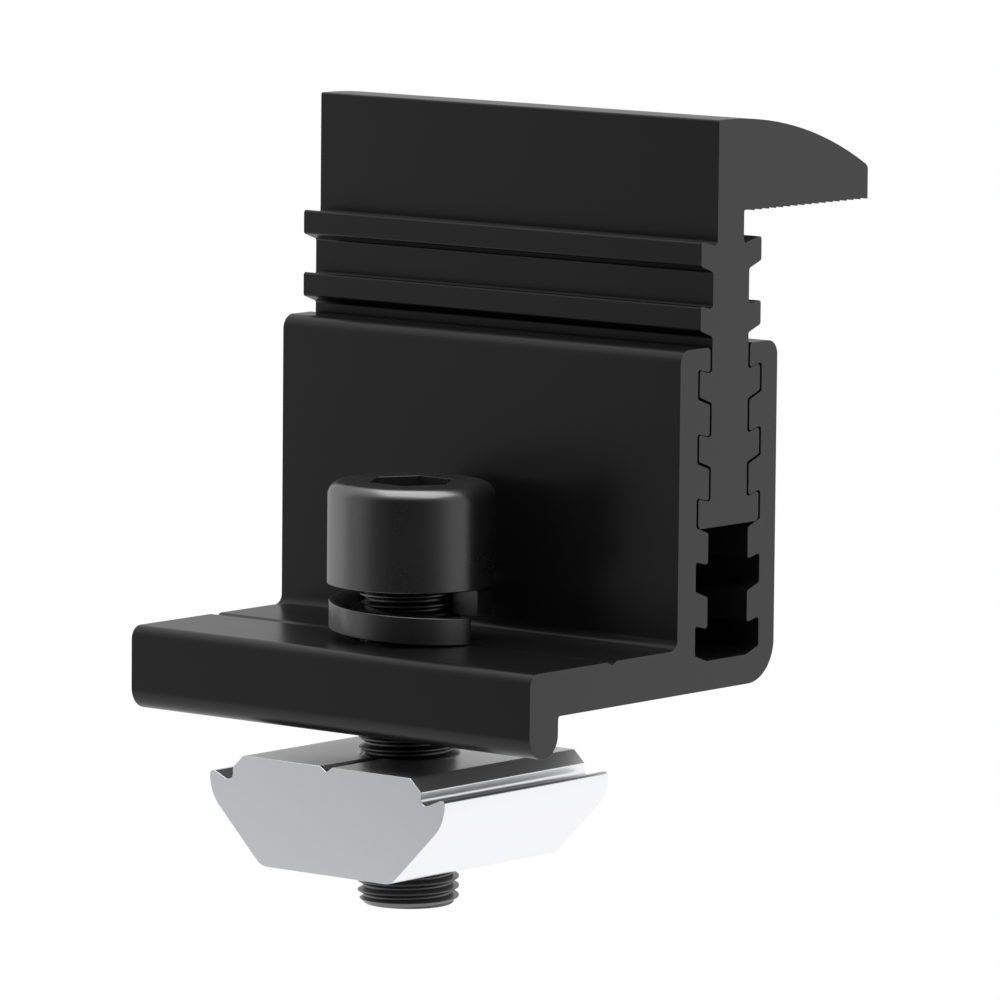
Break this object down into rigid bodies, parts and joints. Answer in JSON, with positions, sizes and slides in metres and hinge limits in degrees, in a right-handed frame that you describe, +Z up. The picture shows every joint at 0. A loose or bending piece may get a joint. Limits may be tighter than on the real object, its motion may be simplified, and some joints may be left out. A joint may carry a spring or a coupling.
{
  "type": "solar end clamp",
  "caption": "Height-adjustable solar end clamp: a hooked head hung by barbed teeth in a grooved bracket, with a socket cap screw, split spring washer and rail nut.",
  "frame": {"origin": "on the screw's axis, in the plane of the mounting rail's top, where the bracket's heel rests", "axes": "+X towards the module under the hook, +Y along the extruded bracket and head, +Z up along the screw, away from the rail"},
  "size_m": [0.0417, 0.04, 0.0614],
  "materials": {
    "black_anodised": "satin black anodised extrusion",
    "black_oxide": "black oxide, lightly oiled",
    "mill_aluminium": "mill finish extrusion with sawn ends"
  },
  "bodies": {
    "bracket": {"bracket": "black_anodised", "spring_washer": "black_oxide"},
    "clamp_head": {"clamp_head": "black_anodised"},
    "cap_screw": {"cap_screw": "black_oxide"},
    "rail_nut": {"rail_nut": "mill_aluminium"}
  },
  "joints": [
    {"name": "head_slide", "type": "slide", "parent": "bracket", "child": "clamp_head", "axis": [0, 1, 0], "range_m": [-0.042, 0.042]},
    {"name": "screw_turn", "type": "hinge", "parent": "bracket", "child": "cap_screw", "pos_m": [0, 0, 0.0108], "axis": [0, 0, 1], "range_deg": [-1080, 5220]},
    {"name": "nut_travel", "type": "slide", "parent": "bracket", "child": "rail_nut", "axis": [0, 0, 1], "range_m": [-0.01089, 0.00226]}
  ],
  "couplings": [
    {"joint": "nut_travel", "follows": "screw_turn", "m_per_rad": -0.00011937}
  ]
}
